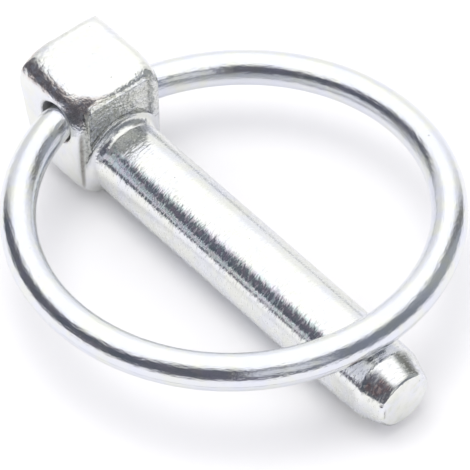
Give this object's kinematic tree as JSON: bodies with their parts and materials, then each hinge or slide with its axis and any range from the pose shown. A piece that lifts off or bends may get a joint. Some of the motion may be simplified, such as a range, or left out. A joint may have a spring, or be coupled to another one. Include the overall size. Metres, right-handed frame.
{
  "type": "linch pin",
  "caption": "Forged steel linch pin with a squared head and a round shank, and a sprung wire ring that swings over and closes on the shank to hold it in a cross hole.",
  "frame": {"origin": "on the shank's axis, where its straight part meets the fillet under the head", "axes": "+X along the shank towards its tapered tip, +Z the side of the shank on which the ring closes, +Y across the head by the right-hand rule; the pin lies on the foot of its head and its shank, with the ring flat above them"},
  "size_m": [0.0656, 0.0568, 0.0172],
  "materials": {
    "plated_steel": "bright zinc plating on a forged and turned surface",
    "plated_wire": "bright zinc plating on smooth drawn spring wire"
  },
  "bodies": {
    "pin": {"pin": "plated_steel"},
    "ring": {"ring": "plated_wire"}
  },
  "joints": [
    {"name": "ring_pivot", "type": "hinge", "parent": "pin", "child": "ring", "pos_m": [-0.0063, 0, 0.0054], "axis": [0, -0.9863, 0.165], "range_deg": [0, 340]}
  ]
}
